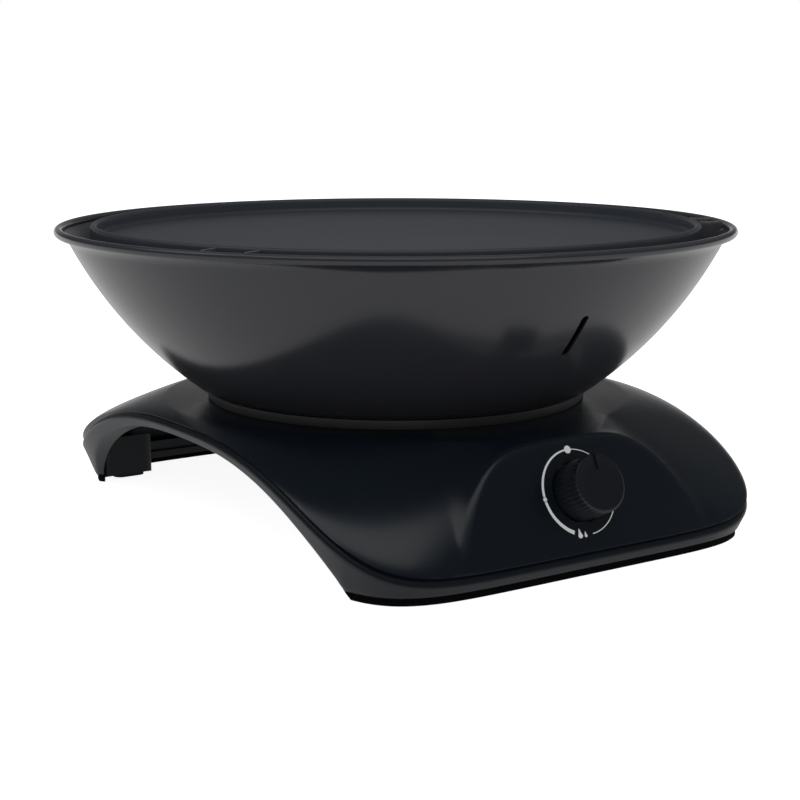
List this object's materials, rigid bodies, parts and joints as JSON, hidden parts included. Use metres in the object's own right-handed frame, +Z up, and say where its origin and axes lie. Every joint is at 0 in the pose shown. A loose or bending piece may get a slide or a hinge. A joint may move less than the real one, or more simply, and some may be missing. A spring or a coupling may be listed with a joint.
{
  "type": "tabletop gas grill",
  "caption": "Low tabletop gas grill: a flared round bowl with a lift-off grill plate on a bridge-shaped black base with a rotary gas knob on a sloping front panel.",
  "frame": {"origin": "on the table under the bowl's axis", "axes": "+Z up along the bowl's axis, -Y to the front with the knob, +X to the right seen from the front"},
  "size_m": [0.463, 0.4628, 0.201],
  "materials": {
    "shell_plastic": "satin",
    "frame_plastic": "satin",
    "pad_rubber": "matt",
    "bowl_enamel": "glossy enamel",
    "plate_coating": "matt non-stick coating",
    "ring_paint": "black paint",
    "bright_steel": "plain",
    "burner_steel": "heat-dulled",
    "zinc_steel": "zinc plated",
    "gas_brass": "machined",
    "pipe_aluminium": "drawn",
    "knob_plastic": "fine grain",
    "dial_print": "printed"
  },
  "bodies": {
    "root": {"base_shell": "shell_plastic", "base_frame": "frame_plastic", "foot_pads": "pad_rubber", "frame_screws": "zinc_steel", "heat_shield": "bright_steel", "spacer_ring": "ring_paint", "bowl": "bowl_enamel", "bowl_screws": "zinc_steel", "bowl_nuts": "zinc_steel", "plate_supports": "bright_steel", "burner_body": "burner_steel", "burner_cap": "burner_steel", "mixing_tube": "burner_steel", "burner_bracket": "burner_steel", "burner_screws": "zinc_steel", "burner_nuts": "zinc_steel", "jet_holder": "gas_brass", "jet": "gas_brass", "burner_pipe": "pipe_aluminium", "feed_pipe": "pipe_aluminium", "pipe_nuts": "gas_brass", "valve_body": "gas_brass", "valve_cap": "zinc_steel", "valve_plate": "bright_steel", "valve_nut": "gas_brass", "plate_screws": "zinc_steel", "knob_well": "knob_plastic", "dial_marks": "dial_print", "inlet_fitting": "gas_brass", "inlet_bracket": "bright_steel", "inlet_nut": "gas_brass", "bracket_screws": "zinc_steel"},
    "valve_plug": {"valve_plug": "gas_brass", "return_spring": "bright_steel"},
    "knob": {"control_knob": "knob_plastic", "valve_stem": "zinc_steel"},
    "plate": {"cooking_plate": "plate_coating"}
  },
  "joints": [
    {"name": "knob_turn", "type": "hinge", "parent": "root", "child": "valve_plug", "pos_m": [0, -0.19942, 0.0495], "axis": [0, -0.8988, 0.4384], "range_deg": [0, 170]},
    {"name": "knob_push", "type": "slide", "parent": "valve_plug", "child": "knob", "axis": [0, 0.8988, -0.4384], "range_m": [0, 0.003], "stiffness_N_per_m": 800, "springref_m": -0.002, "deforming": ["return_spring"]},
    {"name": "plate_lift", "type": "slide", "parent": "root", "child": "plate", "axis": [0, 0, 1], "range_m": [0, 0.1]}
  ]
}
